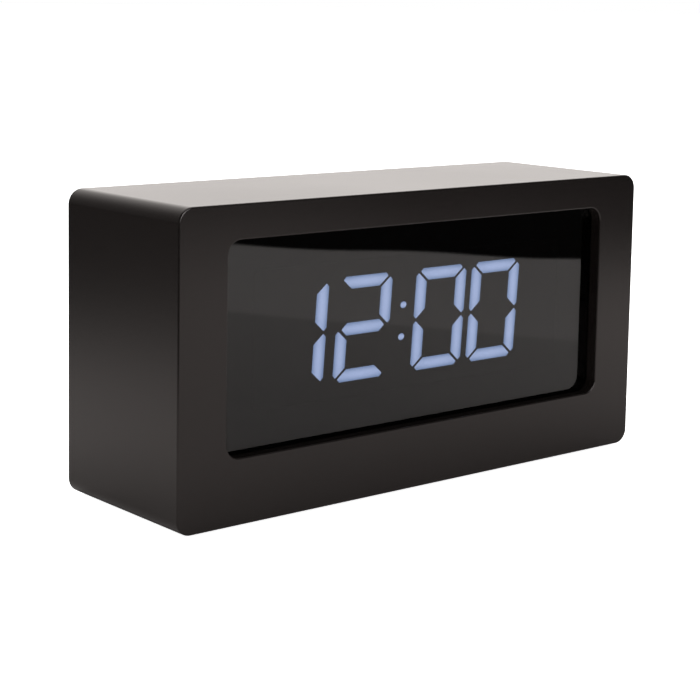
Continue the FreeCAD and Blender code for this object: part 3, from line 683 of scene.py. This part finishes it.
digits = {
    "middles": {"hour_tens": -50.7, "hour_units": -23.9, "minute_tens": 9.4, "minute_units": 34.7},
    "lit": {"hour_tens": "bc", "hour_units": "abdeg", "minute_tens": "abcdef", "minute_units": "abcdef"},
    "z": 56.0, "halfWidth": 9.0, "halfHeight": 15.05, "upright": 4.8, "bar": 4.05, "slant": 4.0,
    "gap": 0.85, "cornerCut": 1.05, "waistInner": 3.6, "waistTip": 0.4,
    "middleReach": 9.0, "middleShoulder": 6.85, "rounding": 0.35, "uprightLift": 0.5,
    "front": -24.5, "back": -16.5,
    "colonX": -6.9, "colonZ": 56.35, "colonGap": 5.3, "colonHalf": (1.3, 1.12),
    "indicator": (56.5, 69.0, 1.5),
    # how much dimmer a lit segment is at its ends and sides, how mottled, and its strength
    "endFade": 0.25, "sideFade": 1.15, "mottle": 0.2, "glow": 8.0,
}


def makeLens(p, material):
    def loop(inset, y):
        return roundedLoop(p["half"][0] - inset, p["half"][1] - inset, p["middleZ"], p["corner"] - inset, y,
                           p["steps"])
    edge, front, back = p["edge"], p["front"], p["back"]
    loops = [loop(edge, front), loop(0, front + edge), loop(0, back - edge), loop(edge, back)]
    finishPiece("lens_pane", meshFrom("lens_pane", bridged(loops, False, True)), material,
                bodyOf("front_lens"), ("front_lens",))


def smokedAcrylic(s):
    # dark smoked pane, leaning forth and back a little along its length as cast sheet does
    haze = s.noise(30.0, 2.0)
    x, _, z = s.parts(s.place())
    wave = s.maths("COSINE", (x + lensPane["waveStart"]) * (2 * math.pi / lensPane["waveLength"]))
    swell = (lensPane["middleZ"] * mm - z) * wave + 0.03 * s.noise(11.0, 1.0)
    return principled(s, {
        "Base Color": rgb(0.08, 0.08, 0.082), "Roughness": 0.002 + 0.006 * haze, "IOR": 1.49,
        "Transmission Weight": 1.0, "Normal": s.bump(swell, 1.0, lensPane["waveLean"])})


def litSegment(s):
    # brightest over the light chip, a little dimmer at the ends and along the sides
    along, side, _ = s.parts(s.node("ShaderNodeUVMap", {"uv_map": "across"}))
    fade = 1 - digits["endFade"] * (along * along) - digits["sideFade"] * (side * side)
    mottle = s.noise(900.0, 2.0)
    glow = s.maths("ADD", fade, digits["mottle"] * (mottle - 0.5), clamp=True)
    colour = s.mixColours(glow, rgb(0.24, 0.35, 0.60), rgb(0.54, 0.675, 1.03))
    return principled(s, {"Base Color": rgb(0.25, 0.26, 0.28), "Roughness": 0.5,
                          "Emission Color": colour, "Emission Strength": digits["glow"]})


def unlitSegment(s):
    return mottled(s, s.noise(900.0, 2.0), (0.006, 0.006, 0.0065), (0.009, 0.009, 0.01), (0.55, 0.0))


def uprightOutline(d, side, level):
    inner = d["halfWidth"] - d["upright"] / 2
    outer = d["halfWidth"] + d["upright"] / 2
    slope = d["bar"] / d["upright"]
    topInner = d["halfHeight"] - d["bar"] / 2 - d["gap"] / 2 * math.hypot(1, slope)
    tip = outer - d["cornerCut"]
    topTip = topInner + (tip - inner) * slope
    points = [(inner, d["waistInner"]), (inner, topInner), (tip, topTip), (outer, topTip - d["cornerCut"]),
              (outer, d["waistTip"] + d["cornerCut"]), (tip, d["waistTip"])]
    return [(side * u, level * v) for u, v in points]


def barOutline(d, level):
    half = d["bar"] / 2
    if level == 0:
        right = [(d["middleShoulder"], half), (d["middleReach"], 0), (d["middleShoulder"], -half)]
        return right + [(-u, -v) for u, v in right]
    slope = d["bar"] / d["upright"]
    low, high = d["halfHeight"] - half, d["halfHeight"] + half
    lowEnd = d["halfWidth"] - d["upright"] / 2 - d["gap"] / 2 * math.hypot(1, 1 / slope)
    tipV = high - d["cornerCut"]
    tip = lowEnd + (tipV - low) / slope
    right = [(lowEnd, low), (tip, tipV), (tip - d["cornerCut"], high)]
    left = [(-u, v) for u, v in reversed(right)]
    return [(u, level * v) for u, v in right + left]


def segmentShapes(d):
    # each letter's outline, its middle and whether it stands upright
    middleV = d["halfHeight"] / 2 + d["uprightLift"]
    return {
        "a": (barOutline(d, 1), (0, d["halfHeight"]), False),
        "g": (barOutline(d, 0), (0, 0), False),
        "d": (barOutline(d, -1), (0, -d["halfHeight"]), False),
        "b": (uprightOutline(d, 1, 1), (d["halfWidth"], middleV), True),
        "c": (uprightOutline(d, 1, -1), (d["halfWidth"], -middleV), True),
        "e": (uprightOutline(d, -1, -1), (-d["halfWidth"], -middleV), True),
        "f": (uprightOutline(d, -1, 1), (-d["halfWidth"], middleV), True),
    }


def roundedCorners(points, radius, steps=4):
    # the outline with each corner turned into a small arc
    count = len(points)
    made = []
    for i, p in enumerate(points):
        corner = Vector(p)
        before = (Vector(points[i - 1]) - corner).normalized()
        after = (Vector(points[(i + 1) % count]) - corner).normalized()
        half = before.angle(after) / 2
        reach = radius / math.tan(half)
        centre = corner + (before + after).normalized() * (radius / math.sin(half))
        start, end = corner + before * reach - centre, corner + after * reach - centre
        sweep = start.angle_signed(end)
        for k in range(steps + 1):
            turn = -sweep * k / steps
            made.append(centre + Matrix.Rotation(turn, 2) @ start)
    return made


def addPrism(bm, layer, outline, middle, halfLength, halfWidth, upright, place, y):
    # one segment: outline in the digit's plane, with how far along and across each point lies
    lean = math.tan(math.radians(digits["slant"]))
    rows = []
    for depth in y:
        rows.append([bm.verts.new(Vector((place[0] + p[0] + p[1] * lean, depth, place[1] + p[1])) * mm)
                     for p in outline])
    spots = {}
    for i, p in enumerate(outline):
        u, v = p[0] - middle[0], p[1] - middle[1]
        spot = (v / halfLength, u / halfWidth) if upright else (u / halfLength, v / halfWidth)
        for row in rows:
            spots[row[i]] = spot
    count = len(outline)
    faces = [bm.faces.new(rows[0]), bm.faces.new(rows[1])]
    for i in range(count):
        j = (i + 1) % count
        faces.append(bm.faces.new((rows[0][i], rows[0][j], rows[1][j], rows[1][i])))
    for face in faces:
        for corner in face.loops:
            corner[layer].uv = spots[corner.vert]


def segmentPiece(name, prisms, material, node):
    bm = bmesh.new()
    layer = bm.loops.layers.uv.new("across")
    for prism in prisms:
        addPrism(bm, layer, *prism)
    finishPiece(name, meshFrom(name, bm), material, bodyOf(node), (node,))


def ovalPoints(halfWidth, halfHeight, steps=32):
    turns = [2 * math.pi * i / steps for i in range(steps)]
    return [Vector((halfWidth * math.cos(t), halfHeight * math.sin(t))) for t in turns]


def makeDigits(d, lit, unlit):
    y = (d["front"], d["back"])
    shapes = segmentShapes(d)
    for digit, middleX in d["middles"].items():
        for state, material in (("lit", lit), ("unlit", unlit)):
            letters = [s for s in "abcdefg" if (s in d["lit"][digit]) == (state == "lit")]
            prisms = []
            for letter in letters:
                outline, middle, upright = shapes[letter]
                half = (d["halfHeight"] / 2, d["upright"] / 2) if upright else (d["halfWidth"], d["bar"] / 2)
                prisms.append((roundedCorners(outline, d["rounding"]), middle, half[0], half[1], upright,
                               (middleX, d["z"]), y))
            segmentPiece(f"{digit}_{state}", prisms, material, f"{digit}_segments_{state}")
    lean = math.tan(math.radians(d["slant"]))
    half = d["colonHalf"]
    dots = [(ovalPoints(*half), (0, 0), *half, False, (d["colonX"] + v * lean, d["colonZ"] + v), y)
            for v in (-d["colonGap"], d["colonGap"])]
    segmentPiece("colon", dots, lit, "colon_dots")
    x, z, radius = d["indicator"]
    segmentPiece("indicator", [(ovalPoints(radius, radius), (0, 0), radius, radius, False, (x, z), y)], unlit,
                 "alarm_indicator")


# finishes of the other parts
def texturedPlastic(low, high, grainScale, strength):
    # moulded plastic with a fine spark texture
    def build(s):
        cloud = s.noise(25.0, 2.0)
        grain = s.noise(grainScale, 3.0, 0.6)
        return principled(s, {"Base Color": s.mixColours(cloud, rgb(*low), rgb(*high)),
                              "Roughness": 0.42 + 0.16 * grain,
                              "Normal": s.bump(grain, strength, 0.00003)})
    return build


def softRubber(s):
    return mottled(s, s.noise(1800.0, 3.0), (0.018, 0.018, 0.018), (0.032, 0.032, 0.031), (0.75, 0.1),
                   (0.3, 0.0001))


def plated(colour, shade, roughness):
    # metal with a fine drawn grain and faint stains
    def build(s):
        stain = s.noise(160.0, 3.0)
        lines = s.noise(1200.0, 2.0, 0.5, (1.0, 1.0, 0.08))
        return principled(s, {"Base Color": s.mixColours(stain, rgb(*colour), rgb(*shade)), "Metallic": 1.0,
                              "Roughness": roughness + 0.12 * lines, "Normal": s.bump(lines, 0.08, 0.00005)})
    return build


boardLook = {
    "patchScale": 85.0, "patchLoose": 0.85, "trackPitch": 0.0014, "trackEdge": 0.45,
    "uprightOver": 0.5, "tracksOver": 0.4, "padScale": 150.0, "padReach": 0.11,
}


def solderMask(s):
    # green lacquer over bundles of copper tracks that run upright or level from patch to patch
    b = boardLook
    flat = s.node("ShaderNodeMapping", inputs={"Vector": s.place(), "Scale": (1.0, 0.0, 1.0)})
    patches = s.node("ShaderNodeTexVoronoi", {"distance": "CHEBYCHEV"}, {
        "Vector": flat, "Scale": b["patchScale"], "Randomness": b["patchLoose"]}, output="Color")
    wayPick, trackPick, _ = s.parts(patches)
    x, _, z = s.parts(flat)

    def bundle(axis):
        wave = s.maths("SINE", axis * (2 * math.pi / b["trackPitch"]))
        return s.maths("GREATER_THAN", wave, b["trackEdge"])
    upright = s.maths("GREATER_THAN", wayPick, b["uprightOver"])
    tracks = bundle(x) * upright + bundle(z) * (1 - upright)
    copper = tracks * s.maths("GREATER_THAN", trackPick, b["tracksOver"])
    spots = s.node("ShaderNodeTexVoronoi", inputs={"Vector": flat, "Scale": b["padScale"]}, output="Distance")
    pad = s.maths("LESS_THAN", spots, b["padReach"])
    cloud = s.noise(60.0, 2.0)
    green = s.mixColours(cloud, rgb(0.006, 0.060, 0.026), rgb(0.009, 0.080, 0.036))
    tracked = s.mixColours(copper, green, rgb(0.014, 0.115, 0.050))
    return principled(s, {"Base Color": s.mixColours(pad, tracked, rgb(0.50, 0.47, 0.38)),
                          "Roughness": 0.28 + 0.1 * cloud, "Normal": s.bump(copper + pad, 0.4, 0.00005)})


def mouldedEpoxy(s):
    return mottled(s, s.noise(2500.0, 3.0), (0.012, 0.012, 0.013), (0.022, 0.022, 0.023), (0.5, 0.2),
                   (0.25, 0.00005))


ribbonScale = 312.5  # a core each millimetre


def ribbonJacket(s):
    # parallel cores side by side under one skin
    wave = s.node("ShaderNodeTexWave", {"bands_direction": "X"}, {"Vector": s.place(), "Scale": ribbonScale})
    return mottled(s, s.other(wave, "Fac"), (0.28, 0.28, 0.28), (0.42, 0.42, 0.41), (0.45, 0.1),
                   (0.5, 0.0002))


def pressedFibre(s):
    fibre = s.noise(700.0, 5.0, 0.7, (1.0, 0.35, 1.0))
    return mottled(s, fibre, (0.30, 0.185, 0.10), (0.48, 0.33, 0.20), (0.8, 0.1), (0.4, 0.0002))


def lightChip(s):
    # white package with a yellow phosphor window
    cloud = s.noise(500.0, 2.0)
    window = s.node("ShaderNodeAttribute", {"attribute_name": "phosphor"}, output="Fac")
    package = s.mixColours(cloud, rgb(0.74, 0.73, 0.69), rgb(0.82, 0.81, 0.78))
    colour = s.mixColours(window, package, rgb(0.85, 0.62, 0.10))
    return principled(s, {"Base Color": colour, "Roughness": 0.35 + 0.1 * cloud})


cellLook = {"middleZ": 24.5, "bandFrom": 9.0}


def cellJacket(s):
    # plain pale sleeve with a grey band at the button end, which the lower cell has on the other side
    x, _, z = s.parts(s.place())
    side = s.maths("SIGN", z - cellLook["middleZ"] * mm)
    band = s.maths("GREATER_THAN", x * side, cellLook["bandFrom"] * mm)
    cloud = s.noise(200.0, 2.0)
    pale = s.mixColours(cloud, rgb(0.50, 0.51, 0.50), rgb(0.58, 0.58, 0.57))
    return principled(s, {"Base Color": s.mixColours(band, pale, rgb(0.11, 0.12, 0.13)),
                          "Roughness": 0.24 + 0.1 * cloud})


def sleeve(colour, shade):
    return lambda s: mottled(s, s.noise(900.0, 2.0), colour, shade, (0.38, 0.12), (0.1, 0.00005))


def solderMetal(s):
    return mottled(s, s.noise(700.0, 3.0), (0.62, 0.62, 0.63), (0.48, 0.48, 0.5), (0.24, 0.14),
                   (0.2, 0.00005), 1.0)


def markInk(s):
    return mottled(s, s.noise(2200.0, 3.0), (0.50, 0.50, 0.49), (0.62, 0.62, 0.61), (0.5, 0.15))


finishes = {
    "raw_fibreboard": pressedFibre,
    "foot_rubber": softRubber,
    "black_plastic": texturedPlastic((0.018, 0.0175, 0.017), (0.026, 0.0255, 0.025), 1500.0, 0.35),
    "button_plastic": texturedPlastic((0.034, 0.033, 0.032), (0.046, 0.045, 0.044), 2600.0, 0.15),
    "component_plastic": texturedPlastic((0.013, 0.013, 0.013), (0.02, 0.02, 0.02), 2600.0, 0.12),
    "connector_plastic": sleeve((0.62, 0.58, 0.46), (0.72, 0.68, 0.56)),
    "zinc_screw": plated((0.62, 0.62, 0.60), (0.50, 0.50, 0.49), 0.26),
    "black_screw": plated((0.055, 0.054, 0.052), (0.09, 0.088, 0.085), 0.3),
    "nickel": plated((0.66, 0.63, 0.57), (0.56, 0.53, 0.47), 0.2),
    "crystal_can": plated((0.72, 0.72, 0.71), (0.6, 0.6, 0.6), 0.22),
    "circuit_board": solderMask,
    "chip_epoxy": mouldedEpoxy,
    "ribbon_jacket": ribbonJacket,
    "capacitor_sleeve": sleeve((0.012, 0.018, 0.06), (0.02, 0.03, 0.09)),
    "led_chip": lightChip,
    "cell_jacket": cellJacket,
    "wire_red": sleeve((0.42, 0.012, 0.012), (0.52, 0.02, 0.02)),
    "wire_black": sleeve((0.012, 0.012, 0.012), (0.02, 0.02, 0.02)),
}


# the parts right behind the lens are matt black, so that only the lit segments show
behindLens = ("display_reflector", "display_holder", "lens_tape")


def dressRest(done, made):
    # every node that has no piece of its own gets a smoothed copy in its slot's finish
    plastic = texturedPlastic((0.004, 0.004, 0.004), (0.007, 0.007, 0.007), 1800.0, 0.3)
    matt = makeMaterial("mattBlack", plastic)
    for node in nodes:
        if node not in done:
            smoothed(node, matt if node in behindLens else made[slotOf(node)])


# screws: shank radius, head radius, head height, length; x and z of the four; y of the seat; way they face
screwSets = {
    "display_holder_screws": ((1.3, 2.6, 1.8, 8.5), (-90, 90), (30, 81), -19.5, 1),
    "display_board_screws": ((1.1, 2.2, 1.6, 6.6), (-73, 71), (34.5, 77.5), -12.9, 1),
    "main_board_screws": ((1.1, 2.2, 1.6, 7.6), (-71, 71), (47, 85), 14.0, -1),
    "rear_cover_screws": ((1.4, 2.9, 1.9, 12.5), (-88, 88), (13, 88), 28.5, 1),
}


def makeScrews(made):
    tree = repeatTree("screws", {"Head radius": 0.0026, "Head height": 0.0018, "Shank radius": 0.0013,
                                 "Length": 0.0085, "Pitch": screwForm["pitch"] * mm}, screwShape)
    for seed, (node, (sizes, xs, zs, seat, facing)) in enumerate(screwSets.items(), screwForm["firstSeed"]):
        shank, head, height, length = (v * mm for v in sizes)
        places = [(x, seat, z, 0, 1) for x in xs for z in zs]
        mesh = repeated(node + "_look", tree, places, made[slotOf(node)], {
            "Head radius": head, "Head height": height, "Shank radius": shank, "Length": length,
            "Tilt": math.radians(-90 * facing), "Loose turn": 2 * math.pi, "Seed": seed})
        finishPiece(node + "_look", mesh, None, bodyOf(node), (node,), screwForm["sharpFrom"])


def makeChips(c, d, finish):
    spots = [(middle, 90 if upright else 0) for _, middle, upright in segmentShapes(d).values()]
    lean = math.tan(math.radians(d["slant"]))
    places = [(x + u + v * lean, c["board"], d["z"] + v, turn, 1)
              for x in d["middles"].values() for (u, v), turn in spots]
    places += [(d["colonX"] + v * lean, c["board"], d["colonZ"] + v, 0, c["dotShare"])
               for v in (-d["colonGap"], d["colonGap"])]
    places.append((d["indicator"][0], c["board"], d["indicator"][1], 0, c["dotShare"]))
    tree = repeatTree("lightChips", {"Long": 0.0034, "Short": 0.0027, "Height": 0.0008}, chipShape)
    mesh = repeated("segment_leds_look", tree, places, finish, {
        "Long": c["long"] * mm, "Short": c["short"] * mm, "Height": c["height"] * mm,
        "Tilt": math.radians(90)})
    finishPiece("segment_leds_look", mesh, None, bodyOf("segment_leds"), ("segment_leds",))


def makeJoints(j, finish):
    places = [(x + dx, j["board"], z + dz, 0, 1)
              for middles, pins in j["parts"] for x, z in middles for dx, dz in pins]
    tree = repeatTree("solderJoints", {"Radius": 0.00085, "Height": 0.00065}, jointShape)
    mesh = repeated("main_board_joints", tree, places, finish, {
        "Radius": j["radius"] * mm, "Height": j["height"] * mm, "Tilt": math.radians(90),
        "Loose turn": j["looseTurn"], "Seed": j["seed"]})
    finishPiece("main_board_joints", mesh, None, bodyOf("main_board"), (), j["sharpFrom"])


# marks on the rear cover
marks = {
    "face": 28.5, "lift": 0.015, "thickness": 0.004, "capShare": 0.69,
    # text, x of its middle, height above the floor, letter height
    "words": (
        ("TIME", 48, 67.6, 2.3), ("ALARM", 28, 67.6, 2.3), ("SNOOZE", 0, 67.6, 2.3),
        ("HOUR", -28, 67.6, 2.3), ("MIN", -48, 67.6, 2.3),
        ("ALARM", -14, 59.6, 2.1), ("OFF", -9.4, 46.6, 2.1), ("ON", -18.6, 46.6, 2.1),
        ("DIMMER", -48, 59.6, 2.1), ("HI", -43.4, 46.6, 2.1), ("LO", -52.6, 46.6, 2.1),
        ("DC 5V", 60, 46.6, 2.1),
    ),
}


def wordMesh(text, height):
    curve = bpy.data.curves.new("word", "FONT")
    curve.body = text
    curve.size = height * mm / marks["capShare"]
    curve.align_x = "CENTER"
    curve.extrude = marks["thickness"] * mm
    curve.resolution_u = 3
    holder = bpy.data.objects.new("word", curve)
    scene.collection.objects.link(holder)
    mesh = bpy.data.meshes.new_from_object(holder.evaluated_get(bpy.context.evaluated_depsgraph_get()))
    bpy.data.objects.remove(holder)
    return mesh


def makeMarks(m, finish):
    bm = bmesh.new()
    for text, x, z, height in m["words"]:
        word = wordMesh(text, height)
        # letters run towards -X, so that they read right from behind
        word.transform(Matrix(((-1, 0, 0, x * mm), (0, 0, 1, (m["face"] + m["lift"]) * mm),
                               (0, 1, 0, z * mm), (0, 0, 0, 1))))
        bm.from_mesh(word)
    mesh = bpy.data.meshes.new("rear_marks")
    bm.to_mesh(mesh)
    bm.free()
    finishPiece("rear_marks", mesh, finish, bodyOf("rear_cover"))


# putting it together
makeCamera(camera)
makeStage(stage)
makeWorld(stage)
makeSoftbox(stage)
scene.view_settings.view_transform = "Standard"
print("camera and stage made")

makeCasing(casing, makeMaterial("blackLacquer", blackLacquer))
print("casing made")

makeLens(lensPane, makeMaterial("smokedAcrylic", smokedAcrylic))
makeDigits(digits, makeMaterial("litSegment", litSegment), makeMaterial("unlitSegment", unlitSegment))
print("lens and digits made")

ownPieces = {"casing", "front_lens", "colon_dots", "alarm_indicator"}
ownPieces |= {n for n in nodes if n.endswith(("_segments_lit", "_segments_unlit"))}
ownPieces |= {"segment_leds", *screwSets}
slotFinishes = {slot: makeMaterial(slot, build) for slot, build in finishes.items()}
dressRest(ownPieces, slotFinishes)
print("other parts dressed")

makeScrews(slotFinishes)
makeChips(chips, digits, slotFinishes["led_chip"])
makeJoints(joints, makeMaterial("solder", solderMetal))
makeMarks(marks, makeMaterial("markInk", markInk))
print("screws, light chips, solder joints and marks made")
